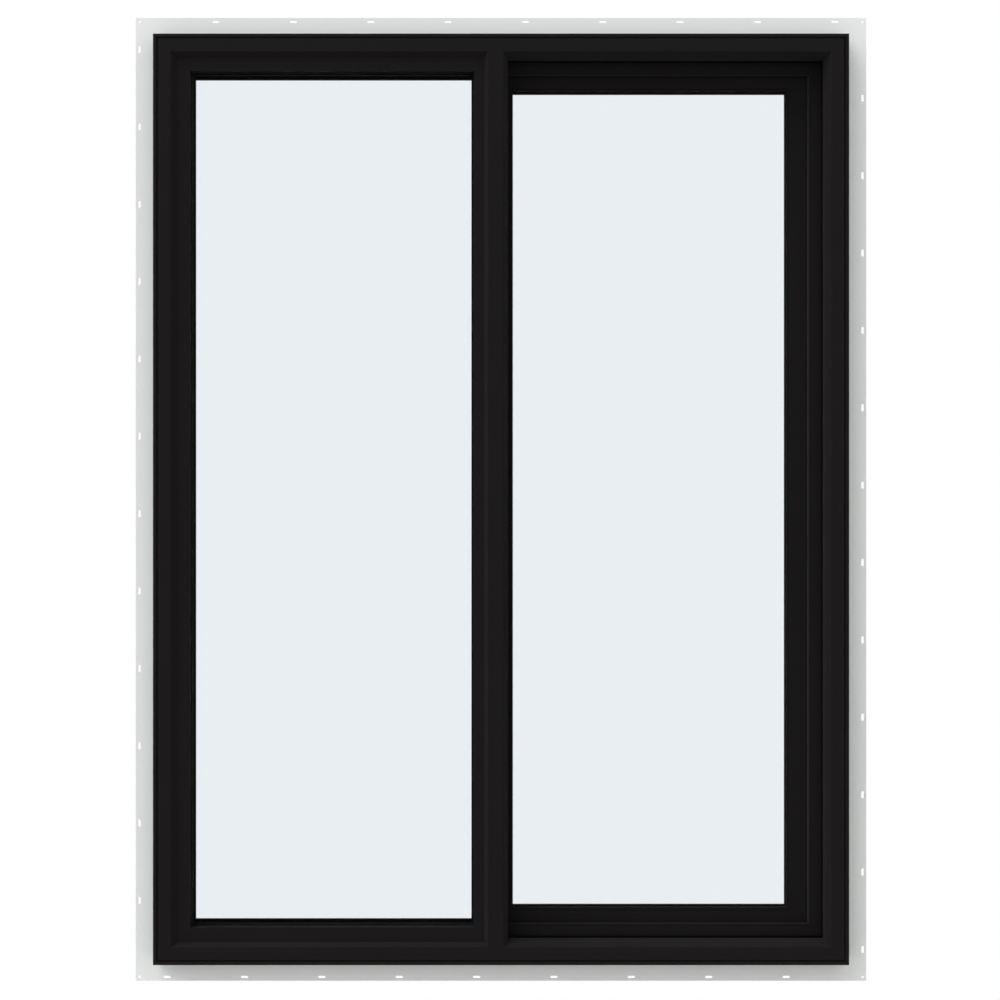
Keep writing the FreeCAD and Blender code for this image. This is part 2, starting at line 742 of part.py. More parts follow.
carriages = []
wheels = []
WHEEL_CENTRE = f"({TRACK_FLOOR} + rail_height + wheel_radius)"
carriage_top = f"({SASH_BOTTOM} + guide_depth)"
carriage_depth = (
    f"({guide_front} + carriage_clear)",
    f"({guide_front} + guide_width - carriage_clear)",
)
for side, centre in (
    ("left", f"({SASH_LEFT} + carriage_inset + carriage_length / 2)"),
    ("right", f"({SASH_RIGHT} - carriage_inset - carriage_length / 2)"),
):
    body_x = (f"({centre} - carriage_length / 2)", f"({centre} + carriage_length / 2)")
    shell = block(f"carriage_{side}_body", body_x, carriage_depth, (SASH_BOTTOM, carriage_top))
    well = block(
        f"carriage_{side}_well",
        (
            f"({centre} - wheel_radius - wheel_clear)",
            f"({centre} + wheel_radius + wheel_clear)",
        ),
        (
            f"({rail_middle} - wheel_width / 2 - carriage_clear)",
            f"({rail_middle} + wheel_width / 2 + carriage_clear)",
        ),
        (f"({SASH_BOTTOM} - wheel_clear)", f"({carriage_top} + wheel_clear)"),
    )
    notch = block(
        f"carriage_{side}_notch",
        (f"({centre} - axle_radius)", f"({centre} + axle_radius)"),
        (guide_front, f"({guide_front} + guide_width)"),
        (f"({SASH_BOTTOM} - wheel_clear)", f"({WHEEL_CENTRE} + axle_radius)"),
    )
    carriages.append(cut(f"carriage_{side}", shell, well, notch))
    axle = doc.addObject("Part::Cylinder", f"wheel_{side}_axle")
    bind(axle, "Radius", "axle_radius")
    bind(axle, "Height", "guide_width - 2 * carriage_clear")
    axle.Placement = Placement(Vector(), Rotation(Vector(1, 0, 0), -90))
    place(axle, centre, carriage_depth[0], WHEEL_CENTRE)
    tyre = doc.addObject("Part::Cylinder", f"wheel_{side}_tyre")
    bind(tyre, "Radius", "wheel_radius")
    bind(tyre, "Height", "wheel_width")
    tyre.Placement = Placement(Vector(), Rotation(Vector(1, 0, 0), -90))
    place(tyre, centre, f"({rail_middle} - wheel_width / 2)", WHEEL_CENTRE)
    wheels.append(fuse(f"wheel_{side}", axle, tyre))
node(fuse("roller_carriages", *carriages), "roller_carriages")
node(fuse("roller_wheels", *wheels), "roller_wheels")

# Stops: lift blocks over the sash in the head track, bumpers in the jamb pocket
stop_depth = (
    f"({rail_middle} - stop_width / 2)",
    f"({rail_middle} + stop_width / 2)",
)
lift_z = (f"({SASH_TOP} + running_gap)", f"({TOP} - track_reach)")
lift_blocks = [
    block(
        f"lift_block_{side}",
        (f"({centre} - stop_length / 2)", f"({centre} + stop_length / 2)"),
        stop_depth, lift_z,
    )
    for side, centre in (
        ("left", f"({SASH_LEFT} + stop_inset)"),
        ("right", f"({SASH_RIGHT} - stop_inset)"),
    )
]
node(fuse("lift_blocks", *lift_blocks), "lift_blocks")
bumper_x = (f"({SASH_RIGHT} + running_gap)", f"({RIGHT} - track_reach)")
bumpers = [
    block(
        f"jamb_bumper_{end}", bumper_x, stop_depth,
        (f"({centre} - stop_length / 2)", f"({centre} + stop_length / 2)"),
    )
    for end, centre in (
        ("low", f"({SASH_BOTTOM} + stop_inset)"),
        ("high", f"({SASH_TOP} - stop_inset)"),
    )
]
node(fuse("jamb_bumpers", *bumpers), "jamb_bumpers")

# Interlock: two hooked strips that catch as the sash closes, the sash's one notched
# where it slides over the lock's keeper
hook_bottom = f"({BOTTOM} + mid_leg_reach + running_gap)"
hook_top = f"({TOP} - mid_leg_reach - running_gap)"
hook_run = f"({hook_top} - {hook_bottom})"
hook_front = f"({MID_BACK} + running_gap)"
hook_back = "(sash_front - running_gap)"
mullion_hook_section = [
    ("0", MID_BACK),
    ("interlock_wall", MID_BACK),
    ("interlock_wall", f"{hook_back} - interlock_wall"),
    ("interlock_reach", f"{hook_back} - interlock_wall"),
    ("interlock_reach", hook_back),
    ("0", hook_back),
]
mullion_hook = bar(
    "interlock_mullion", RIGHT_SIDE, ("mullion_slope", hook_top), hook_run,
    mullion_hook_section,
)
node(mullion_hook, "interlock_mullion")
sash_hook_section = [
    ("0", "sash_front"),
    ("0", hook_front),
    ("interlock_reach", hook_front),
    ("interlock_reach", f"{hook_front} + interlock_wall"),
    ("interlock_wall", f"{hook_front} + interlock_wall"),
    ("interlock_wall", "sash_front"),
]
sash_hook_left = "(mullion_slope - 2 * interlock_reach + interlock_lap)"
sash_hook = bar(
    "interlock_sash_bar", LEFT_SIDE, (sash_hook_left, hook_bottom), hook_run, sash_hook_section
)
hook_notch = block(
    "interlock_sash_notch",
    (sash_hook_left, f"({sash_hook_left} + interlock_reach)"),
    (hook_front, "sash_front"),
    (
        f"({MID_HEIGHT} - keeper_height / 2 - keeper_notch)",
        f"({MID_HEIGHT} + keeper_height / 2 + keeper_notch)",
    ),
)
node(cut("interlock_sash", sash_hook, hook_notch), "interlock_sash")


def casting(name, x, depth, z, outline, thick, bevel):
    """Pad a capsule outline away from the sash's edge and bevel its outer face."""
    body = doc.addObject("PartDesign::Body", name)
    sketch = new_sketch(body, f"{name}_outline", "YZ_Plane")
    draw_capsule(sketch, *outline)
    pad = body.newObject("PartDesign::Pad", f"{name}_pad")
    pad.Profile = sketch
    bind(pad, "Length", thick)
    doc.recompute()
    rim = [
        f"Edge{index}"
        for index, edge in enumerate(pad.Shape.Edges, start=1)
        if edge.BoundBox.XMax < value(thick) / 2
    ]
    chamfer = body.newObject("PartDesign::Chamfer", f"{name}_rim")
    chamfer.Base = (pad, rim)
    bind(chamfer, "Size", bevel)
    doc.recompute()
    place(body, x, depth, z)
    return body


# Cam lock on the edge of the meeting stile: its tongue reaches forward and catches
# behind the keeper on the back of the mullion
lock_end = "(lock_width / 2)"
lock_body = casting(
    "lock_case_body",
    f"({SASH_LEFT} - lock_thick)",
    f"({rail_middle} - {lock_end})",
    f"({MID_HEIGHT} - lock_height / 2)",
    (lock_end, lock_end, f"(lock_height - {lock_end})", lock_end, lock_end),
    "lock_thick", "lock_bevel",
)
tongue_left = f"({SASH_LEFT} - lock_thick / 2 - tongue_thick / 2)"
tongue = block(
    "lock_tongue",
    (tongue_left, f"({tongue_left} + tongue_thick)"),
    (f"({MID_BACK} + keeper_thick + running_gap)", rail_middle),
    (f"({MID_HEIGHT} - tongue_width / 2)", f"({MID_HEIGHT} + tongue_width / 2)"),
)
node(fuse("lock_case", lock_body, tongue), "lock_case")
lever = casting(
    "lock_lever",
    f"({SASH_LEFT} - lock_thick - lever_thick)",
    f"({rail_middle} - lever_root)",
    f"({MID_HEIGHT} - lever_root)",
    ("lever_root", "lever_root", "lever_root + lever_length", "lever_root", "lever_tip"),
    "lever_thick", "lever_bevel",
)
node(lever, "lock_lever")
keeper_section = [
    ("0", MID_BACK),
    ("keeper_width", MID_BACK),
    ("keeper_width", f"{MID_BACK} + keeper_rise"),
    ("keeper_width - keeper_thick", f"{MID_BACK} + keeper_rise"),
    ("keeper_width - keeper_thick", f"{MID_BACK} + keeper_thick"),
    ("0", f"{MID_BACK} + keeper_thick"),
]
keeper = bar(
    "lock_keeper", LEFT_SIDE,
    (
        f"({tongue_left} - keeper_gap - keeper_width)",
        f"({MID_HEIGHT} - keeper_height / 2)",
    ),
    "keeper_height", keeper_section,
)
node(keeper, "lock_keeper")

# Pull on the jamb stile
pull = bar(
    "pull_rail", RIGHT_SIDE,
    (f"({SASH_RIGHT} - pull_inset)", f"({SASH_TOP} - pull_ends)"),
    f"({SASH_TOP} - {SASH_BOTTOM} - 2 * pull_ends)",
    [
        ("0", SASH_BACK),
        ("pull_wall", SASH_BACK),
        ("pull_wall", f"{SASH_BACK} + pull_out - pull_wall"),
        ("pull_width", f"{SASH_BACK} + pull_out - pull_wall"),
        ("pull_width", f"{SASH_BACK} + pull_out"),
        ("0", f"{SASH_BACK} + pull_out"),
    ],
    [
        (
            "pull_round",
            [
                ("0", f"{SASH_BACK} + pull_out"),
                ("pull_width", f"{SASH_BACK} + pull_out"),
                ("pull_width", f"{SASH_BACK} + pull_out - pull_wall"),
            ],
        ),
    ],
)
node(pull, "pull_rail")

# Check every object, then write each piece
doc.recompute()
faulty = [item.Name for item in doc.Objects if {"Invalid", "Error"} & set(item.State)]
faulty += [item.Label for item in nodes if item.Shape.isNull() or not item.Shape.isValid()]
if faulty:
    raise RuntimeError("failed objects: " + ", ".join(faulty))
os.makedirs("parts", exist_ok=True)
total = 0.0
for item in nodes:
    item.Shape.exportStep(f"parts/{item.Label}.step")
    total += item.Shape.Volume
print(f"{len(nodes)} nodes, {total / 1e9:.6f} cubic metres of solid")
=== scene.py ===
"""Horizontal sliding window: finishes, seals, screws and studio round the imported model."""
import logging
import math
from collections.abc import Callable, Iterable, Mapping
from dataclasses import dataclass, field
from enum import Enum

import bpy
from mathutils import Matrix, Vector


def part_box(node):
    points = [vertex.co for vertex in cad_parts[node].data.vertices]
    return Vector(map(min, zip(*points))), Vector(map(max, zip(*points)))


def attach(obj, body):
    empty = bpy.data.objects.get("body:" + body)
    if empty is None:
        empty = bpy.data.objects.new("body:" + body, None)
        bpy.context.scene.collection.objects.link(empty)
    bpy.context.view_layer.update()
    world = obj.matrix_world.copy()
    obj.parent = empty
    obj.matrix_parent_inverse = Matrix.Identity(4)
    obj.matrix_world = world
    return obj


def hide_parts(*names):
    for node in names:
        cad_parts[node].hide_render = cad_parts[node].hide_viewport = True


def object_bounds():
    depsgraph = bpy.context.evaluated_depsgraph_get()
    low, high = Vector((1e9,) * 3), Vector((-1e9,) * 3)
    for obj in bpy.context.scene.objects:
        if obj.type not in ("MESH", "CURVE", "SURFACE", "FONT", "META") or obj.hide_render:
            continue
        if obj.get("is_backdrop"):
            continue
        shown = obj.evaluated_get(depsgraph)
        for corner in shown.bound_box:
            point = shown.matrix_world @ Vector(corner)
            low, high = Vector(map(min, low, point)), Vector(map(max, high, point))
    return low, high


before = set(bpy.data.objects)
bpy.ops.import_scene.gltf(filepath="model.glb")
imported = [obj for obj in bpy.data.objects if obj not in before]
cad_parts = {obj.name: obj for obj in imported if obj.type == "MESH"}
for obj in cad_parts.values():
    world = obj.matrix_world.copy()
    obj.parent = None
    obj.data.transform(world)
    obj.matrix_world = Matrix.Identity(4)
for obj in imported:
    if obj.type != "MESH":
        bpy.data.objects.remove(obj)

log = logging.getLogger("window")

MM = 0.001
BODY = "root"

Colour = tuple[float, float, float]
Spot = tuple[float, float, float]


class Run(Enum):
    """The way a long member runs, with how much its marks are stretched along each axis."""

    ACROSS = (0.02, 1.0, 1.0)
    UPRIGHT = (1.0, 1.0, 0.02)
    NONE = (1.0, 1.0, 1.0)


class Value:
    """A number that varies over a surface: one socket, with sums written as Python."""

    def __init__(self, shader: "Shader", socket: bpy.types.NodeSocket) -> None:
        """Wrap an output socket of a shader's node."""
        self.shader = shader
        self.socket = socket

    def _math(self, operation: str, first: "Value | float", second: "Value | float") -> "Value":
        """Add one Math node.

        Args:
            operation: The node's operation, such as MULTIPLY.
            first: Its first value or link.
            second: Its second value or link.

        Returns:
            The node's result.
        """
        node = self.shader.add("ShaderNodeMath", {"operation": operation}, {0: first, 1: second})
        return Value(self.shader, node.outputs[0])

    def __add__(self, other: "Value | float") -> "Value":
        """Add."""
        return self._math("ADD", self, other)

    def __radd__(self, other: float) -> "Value":
        """Add, with the number first."""
        return self._math("ADD", other, self)

    def __sub__(self, other: "Value | float") -> "Value":
        """Subtract."""
        return self._math("SUBTRACT", self, other)

    def __rsub__(self, other: float) -> "Value":
        """Subtract from a number."""
        return self._math("SUBTRACT", other, self)

    def __mul__(self, other: "Value | float") -> "Value":
        """Multiply."""
        return self._math("MULTIPLY", self, other)

    def __rmul__(self, other: float) -> "Value":
        """Multiply, with the number first."""
        return self._math("MULTIPLY", other, self)

    def __truediv__(self, other: "Value | float") -> "Value":
        """Divide."""
        return self._math("DIVIDE", self, other)

    def __pow__(self, other: float) -> "Value":
        """Raise to a power."""
        return self._math("POWER", self, other)

    def at_least(self, other: "Value | float") -> "Value":
        """Keep the larger of two values."""
        return self._math("MAXIMUM", self, other)

    def at_most(self, other: "Value | float") -> "Value":
        """Keep the smaller of two values."""
        return self._math("MINIMUM", self, other)


class Shader:
    """Builds the nodes of one material or of the world."""

    def __init__(self, tree: bpy.types.NodeTree) -> None:
        """Empty a node tree and start on it."""
        self.tree = tree
        self.tree.nodes.clear()

    @classmethod
    def for_material(cls, name: str) -> tuple["Shader", bpy.types.Material]:
        """Start a new material and return its builder with it."""
        material = bpy.data.materials.new(name)
        material.use_nodes = True
        return cls(material.node_tree), material

    def add(
        self,
        kind: str,
        settings: Mapping[str, object] | None = None,
        inputs: Mapping[str | int, object] | None = None,
    ) -> bpy.types.Node:
        """Add any node.

        Args:
            kind: The node's type.
            settings: Its settings, set first; stops are a ramp's places and colours.
            inputs: The values or links of its sockets, by name or number.

        Returns:
            The new node.
        """
        node = self.tree.nodes.new(kind)
        for name, setting in (settings or {}).items():
            if name == "stops":
                self._set_stops(node.color_ramp, setting)
            else:
                setattr(node, name, setting)
        for key, value in (inputs or {}).items():
            socket = node.inputs[key]
            if isinstance(value, Value):
                self.tree.links.new(value.socket, socket)
            elif isinstance(value, bpy.types.NodeSocket):
                self.tree.links.new(value, socket)
            else:
                socket.default_value = value
        return node

    @staticmethod
    def _set_stops(ramp: bpy.types.ColorRamp, stops: Iterable[tuple[float, Colour]]) -> None:
        """Give a ramp its stops, each a place and a colour."""
        stops = list(stops)
        while len(ramp.elements) < len(stops):
            ramp.elements.new(1.0)
        for element, (place, colour) in zip(ramp.elements, stops):
            element.position = place
            element.color = (*colour, 1.0)

    def coordinates(self, stretch: Spot = (1.0, 1.0, 1.0)) -> bpy.types.NodeSocket:
        """Give the object's own coordinates, scaled along each axis."""
        where = self.add("ShaderNodeTexCoord")
        scaled = self.add(
            "ShaderNodeVectorMath",
            {"operation": "MULTIPLY"},
            {0: where.outputs["Object"], 1: stretch},
        )
        return scaled.outputs[0]

    def noise(self, where: bpy.types.NodeSocket, scale: float, detail: float = 2.0) -> Value:
        """Give fractal noise about 0.5 at so many cells a metre."""
        node = self.add(
            "ShaderNodeTexNoise",
            {"noise_dimensions": "3D"},
            {"Vector": where, "Scale": scale, "Detail": detail, "Roughness": 0.55},
        )
        return Value(self, node.outputs[0])

    def blend(self, mask: Value, low: Colour, high: Colour) -> bpy.types.NodeSocket:
        """Mix two colours by a mask."""
        node = self.add(
            "ShaderNodeMix",
            {"data_type": "RGBA"},
            {0: mask, 6: (*low, 1.0), 7: (*high, 1.0)},
        )
        return node.outputs[2]

    def bump(self, height: Value, distance: float, strength: float) -> bpy.types.NodeSocket:
        """Turn a height into a normal."""
        node = self.add(
            "ShaderNodeBump",
            None,
            {"Height": height, "Distance": distance, "Strength": strength},
        )
        return node.outputs[0]

    def surface(self, inputs: Mapping[str, object]) -> None:
        """End a material in a Principled surface."""
        shader = self.add("ShaderNodeBsdfPrincipled", None, inputs)
        self.add("ShaderNodeOutputMaterial", None, {"Surface": shader.outputs[0]})


def shade(colour: Colour, factor: float) -> Colour:
    """Make a colour lighter or darker."""
    red, green, blue = colour
    return (red * factor, green * factor, blue * factor)


@dataclass(frozen=True)
class Vinyl:
    """Extruded vinyl: faint die lines along the run, a fine grain and a satin skin."""

    name: str
    colour: Colour
    run: Run
    roughness: float = 0.55
    specular: float = 0.03
    sheen: float = 0.05
    spread: float = 0.10
    grain: float = 0.00004

    def material(self) -> bpy.types.Material:
        """Make the material."""
        shader, material = Shader.for_material(self.name)
        along = shader.coordinates(self.run.value)
        lines = shader.noise(along, 420.0, 3.0)
        cloud = shader.noise(shader.coordinates(), 9.0, 3.0)
        grain = shader.noise(shader.coordinates(), 2600.0, 1.0)
        tone = lines * 0.5 + cloud * 0.5
        shader.surface(
            {
                "Base Color": shader.blend(
                    tone,
                    shade(self.colour, 1.0 - self.spread),
                    shade(self.colour, 1.0 + self.spread),
                ),
                "Roughness": self.roughness + (cloud - 0.5) * 0.10 + (lines - 0.5) * 0.08,
                "Specular IOR Level": self.specular,
                "Sheen Weight": self.sheen,
                "Sheen Roughness": 0.5,
                "Normal": shader.bump(grain * 0.6 + lines * 0.4, self.grain, 0.6),
            }
        )
        return material


@dataclass(frozen=True)
class Glass:
    """One clear pane, faintly blue-grey."""

    name: str
    tint: Colour

    def material(self) -> bpy.types.Material:
        """Make the material."""
        shader, material = Shader.for_material(self.name)
        wave = shader.noise(shader.coordinates(), 6.0, 1.0)
        shader.surface(
            {
                "Base Color": shader.blend(wave, shade(self.tint, 0.997), self.tint),
                "Roughness": 0.0,
                "IOR": 1.4,
                "Transmission Weight": 1.0,
            }
        )
        return material


@dataclass(frozen=True)
class Rubber:
    """Soft matt rubber or foam with a fine pitted skin."""

    name: str
    colour: Colour
    roughness: float = 0.75
    pits: float = 1800.0

    def material(self) -> bpy.types.Material:
        """Make the material."""
        shader, material = Shader.for_material(self.name)
        pits = shader.noise(shader.coordinates(), self.pits, 2.0)
        cloud = shader.noise(shader.coordinates(), 30.0, 2.0)
        shader.surface(
            {
                "Base Color": shader.blend(
                    cloud, shade(self.colour, 0.8), shade(self.colour, 1.25)
                ),
                "Roughness": self.roughness + (pits - 0.5) * 0.2,
                "Specular IOR Level": 0.2,
                "Normal": shader.bump(pits, 0.00008, 0.7),
            }
        )
        return material


@dataclass(frozen=True)
class Metal:
    """Bare mill-finish metal drawn along its length."""

    name: str
    colour: Colour
    roughness: float = 0.34

    def material(self) -> bpy.types.Material:
        """Make the material."""
        shader, material = Shader.for_material(self.name)
        drawn = shader.noise(shader.coordinates(Run.ACROSS.value), 900.0, 3.0)
        cloud = shader.noise(shader.coordinates(), 25.0, 3.0)
        shader.surface(
            {
                "Base Color": shader.blend(cloud, shade(self.colour, 0.9), self.colour),
                "Metallic": 1.0,
                "Roughness": self.roughness + (drawn - 0.5) * 0.2,
                "Normal": shader.bump(drawn, 0.00003, 0.6),
            }
        )
        return material


@dataclass(frozen=True)
class PowderCoat:
    """Stoved powder coat on a casting, with its slight orange peel."""

    name: str
    colour: Colour
    roughness: float = 0.38

    def material(self) -> bpy.types.Material:
        """Make the material."""
        shader, material = Shader.for_material(self.name)
        peel = shader.noise(shader.coordinates(), 700.0, 2.0)
        cloud = shader.noise(shader.coordinates(), 40.0, 2.0)
        shader.surface(
            {
                "Base Color": shader.blend(
                    cloud, shade(self.colour, 0.85), shade(self.colour, 1.15)
                ),
                "Roughness": self.roughness + (peel - 0.5) * 0.15,
                "Specular IOR Level": 0.35,
                "Normal": shader.bump(peel, 0.00012, 0.5),
            }
        )
        return material


BLACK = (0.0105, 0.0094, 0.0093)
# The beads' black is the frame's vinyl made about a tenth lighter: painted light standing in for
# the sheen that the beads are not given.
BEAD_BLACK_WITH_PAINTED_SHEEN = (0.0115, 0.0103, 0.0102)
SASH_BLACK = (0.0106, 0.0095, 0.0094)
FIN_WHITE = (0.775, 0.795, 0.78)


class Finishes:
    """All the window's finishes, made once."""

    def __init__(self) -> None:
        """Make every material."""
        self.frame_across = Vinyl("frame vinyl across", BLACK, Run.ACROSS).material()
        self.frame_upright = Vinyl("frame vinyl upright", BLACK, Run.UPRIGHT).material()
        # The bead vinyl carries painted light: its black is lighter, in place of the sheen it
        # lacks.
        self.bead_across = Vinyl(
            "bead vinyl across", BEAD_BLACK_WITH_PAINTED_SHEEN, Run.ACROSS, sheen=0.0
        ).material()
        self.bead_upright = Vinyl(
            "bead vinyl upright", BEAD_BLACK_WITH_PAINTED_SHEEN, Run.UPRIGHT, sheen=0.0
        ).material()
        self.sash_across = Vinyl(
            "sash vinyl across", SASH_BLACK, Run.ACROSS, sheen=0.0
        ).material()
        self.sash_upright = Vinyl(
            "sash vinyl upright", SASH_BLACK, Run.UPRIGHT, sheen=0.0
        ).material()
        self.fin_across = Vinyl(
            "fin vinyl across", FIN_WHITE, Run.ACROSS, 0.5, 0.3, 0.0, 0.015, 0.00006
        ).material()
        self.fin_upright = Vinyl(
            "fin vinyl upright", FIN_WHITE, Run.UPRIGHT, 0.5, 0.3, 0.0, 0.015, 0.00006
        ).material()
        self.pane = Glass("clear pane", (0.955, 0.978, 0.996)).material()
        self.spacer = Rubber("foam spacer", (0.012, 0.012, 0.012), 0.85, 900.0).material()
        self.gasket = Rubber("glazing gasket", (0.008, 0.008, 0.008), 0.6).material()
        self.block = Rubber("hard rubber", (0.02, 0.02, 0.02)).material()
        self.pile = Rubber("pile fibre", (0.03, 0.03, 0.031), 0.95, 2500.0).material()
        self.rail = Metal("mill aluminium", (0.72, 0.72, 0.71)).material()
        self.nylon = Rubber("moulded nylon", (0.035, 0.035, 0.036), 0.5, 600.0).material()
        self.coat = PowderCoat("black powder coat", (0.012, 0.0118, 0.0115)).material()
        self.screw = Metal("zinc screw", (0.6, 0.6, 0.58), 0.28).material()


def dress(node: str, material: bpy.types.Material) -> None:
    """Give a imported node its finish."""
    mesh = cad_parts[node].data
    mesh.materials.clear()
    mesh.materials.append(material)


def seat(
    piece: bpy.types.Object,
    name: str,
    slot: str,
    material: bpy.types.Material,
    *stands_for: str,
) -> None:
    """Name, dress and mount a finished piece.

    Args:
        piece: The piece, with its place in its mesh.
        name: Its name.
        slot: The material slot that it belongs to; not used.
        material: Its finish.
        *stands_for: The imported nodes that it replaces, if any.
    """
    piece.name = name
    piece.data.name = name
    piece.data.materials.clear()
    piece.data.materials.append(material)
    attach(piece, BODY)
    if stands_for:
        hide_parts(*stands_for)
    log.info("%s: %d faces", name, len(piece.data.polygons))


@dataclass(frozen=True)
class Span:
    """An upright rectangle, by its edges."""

    left: float
    right: float
    bottom: float
    top: float

    @property
    def width(self) -> float:
        """Give its width."""
        return self.right - self.left

    @property
    def height(self) -> float:
        """Give its height."""
        return self.top - self.bottom

    def middle(self, depth: float) -> Spot:
        """Give its middle at a depth."""
        return ((self.left + self.right) / 2, depth, (self.bottom + self.top) / 2)


class Bench:
    """Steps of hand modelling that several pieces share."""

    @staticmethod
    def take(*pieces: bpy.types.Object) -> None:
        """Select these pieces alone, with the first of them active."""
        bpy.ops.object.select_all(action="DESELECT")
        for piece in pieces:
            piece.select_set(True)
        bpy.context.view_layer.objects.active = pieces[0]

    @staticmethod
    def bar(size: Spot, middle: Spot) -> bpy.types.Object:
        """Start a straight bar and leave it in edit mode, selected all over.

        Args:
            size: Its length along each axis.
            middle: Its middle.

        Returns:
            The bar's object.
        """
        bpy.ops.object.select_all(action="DESELECT")
        bpy.ops.mesh.primitive_cube_add(size=1.0, location=middle)
        bpy.ops.object.mode_set(mode="EDIT")
        bpy.ops.transform.resize(value=size, center_override=middle)
        return bpy.context.active_object

    @staticmethod
    def pick(kind: str, wanted: Callable[[Vector, Vector], bool]) -> None:
        """Select faces or edges of the piece that is in edit mode.

        Args:
            kind: FACE or EDGE.
            wanted: Tells from a middle and a normal, or an edge's run, whether to select it.
        """
        bpy.ops.mesh.select_mode(type=kind)
        bpy.ops.mesh.select_all(action="DESELECT")
        bpy.ops.object.mode_set(mode="OBJECT")
        mesh = bpy.context.active_object.data
        if kind == "FACE":
            for face in mesh.polygons:
                face.select = wanted(face.center, face.normal)
        else:
            for edge in mesh.edges:
                start, end = (mesh.vertices[index].co for index in edge.vertices)
                edge.select = wanted((start + end) / 2, (end - start).normalized())
        bpy.ops.object.mode_set(mode="EDIT")

    @staticmethod
    def modify(kind: str, settings: Mapping[str, object]) -> None:
        """Add a modifier to the active piece and apply it."""
        modifier = bpy.context.active_object.modifiers.new(kind.lower(), kind)
        for name, setting in settings.items():
            setattr(modifier, name, setting)
        bpy.ops.object.modifier_apply(modifier=modifier.name)

    @staticmethod
    def close(smooth: float = 35.0) -> bpy.types.Object:
        """Leave edit mode with the faces outward and the place in the mesh.

        Args:
            smooth: The angle in degrees below which an edge is shaded smooth.

        Returns:
            The piece.
        """
        bpy.ops.mesh.select_all(action="SELECT")
        bpy.ops.mesh.normals_make_consistent(inside=False)
        bpy.ops.object.mode_set(mode="OBJECT")
        bpy.ops.object.transform_apply(location=True, rotation=True, scale=True)
        bpy.ops.object.shade_smooth_by_angle(angle=math.radians(smooth))
        return bpy.context.active_object

    @classmethod
    def copy(cls, piece: bpy.types.Object, place: Spot, turn: Spot) -> bpy.types.Object:
        """Put a copy of a piece, with its own mesh, somewhere else.

        Args:
            piece: The piece, modelled about the origin.
            place: Where its origin goes.
            turn: Its turn about X, then Y, then Z.

        Returns:
            The copy, with its place in its mesh.
        """
        cls.take(piece)
        bpy.ops.object.duplicate(linked=False)
        twin = bpy.context.active_object
        twin.location = place
        twin.rotation_euler = turn
        bpy.ops.object.transform_apply(location=True, rotation=True, scale=True)
        return twin

    @classmethod
    def join(cls, pieces: list[bpy.types.Object]) -> bpy.types.Object:
        """Join pieces into the first of them."""
        cls.take(*pieces)
        if len(pieces) > 1:
            bpy.ops.object.join()
        return pieces[0]

    @classmethod
    def discard(cls, *pieces: bpy.types.Object) -> None:
        """Take away patterns that were only copied."""
        cls.take(*pieces)
        bpy.ops.object.delete()


@dataclass(frozen=True)
class Gasket:
    """A glazing gasket: a flat strip under the frame's leg, with a rounded lip that shows."""

    light: str
    left: str
    right: str
    sill: str
    head: str
    lip: float
    nose: float = 0.7 * MM
    start: float = 2.0 * MM

    def build(self, finishes: Finishes) -> None:
        """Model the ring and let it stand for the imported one."""
        node = f"{self.light}_gasket"
        low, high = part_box(node)
        outer = Span(low.x, high.x, low.z, high.z)
        hole = Span(
            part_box(self.left)[1].x + self.lip,
            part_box(self.right)[0].x - self.lip,
            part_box(self.sill)[1].z + self.lip,
            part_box(self.head)[0].z - self.lip,
        )
        self._strip(outer, hole, low.y, high.y - low.y)
        self._round(hole, low.y)
        seat(Bench.close(), f"{self.light}_gasket_lip", "gasket_rubber", finishes.gasket, node)

    def _strip(self, outer: Span, hole: Span, front: float, depth: float) -> None:
        """Extrude the ring back from a plane that is inset to the hole."""
        middle = outer.middle(front)
        bpy.ops.object.select_all(action="DESELECT")
        bpy.ops.mesh.primitive_plane_add(
            size=1.0, location=middle, rotation=(math.pi / 2, 0.0, 0.0)
        )
        bpy.ops.object.transform_apply(location=False, rotation=True, scale=False)
        bpy.ops.object.mode_set(mode="EDIT")
        bpy.ops.transform.resize(
            value=(outer.width, 1.0, outer.height), center_override=middle
        )
        bpy.ops.mesh.inset(thickness=self.start)
        bpy.ops.transform.resize(
            value=(
                hole.width / (outer.width - 2 * self.start),
                1.0,
                hole.height / (outer.height - 2 * self.start),
            ),
            center_override=middle,
        )
        shift = Vector(hole.middle(front)) - Vector(middle)
        bpy.ops.transform.translate(value=shift)
        bpy.ops.mesh.delete(type="FACE")
        bpy.ops.mesh.select_all(action="SELECT")
        bpy.ops.mesh.extrude_region_move(TRANSFORM_OT_translate={"value": (0.0, depth, 0.0)})

    def _round(self, hole: Span, front: float) -> None:
        """Round the front edge of the lip."""
        origin = bpy.context.active_object.location
        middle = hole.middle(front)
        reach = 0.05 * MM

        def on_lip(place: Vector, run: Vector) -> bool:
            """Tell whether an edge lies on the front edge of the hole."""
            spot = place + origin
            across = abs(abs(spot.x - middle[0]) - hole.width / 2) < reach
            upright = abs(abs(spot.z - middle[2]) - hole.height / 2) < reach
            return abs(spot.y - front) < reach and (
                (across and abs(run.z) > 0.9) or (upright and abs(run.x) > 0.9)
            )

        Bench.pick("EDGE", on_lip)
        bpy.ops.mesh.bevel(offset=self.nose, segments=4, affect="EDGES")


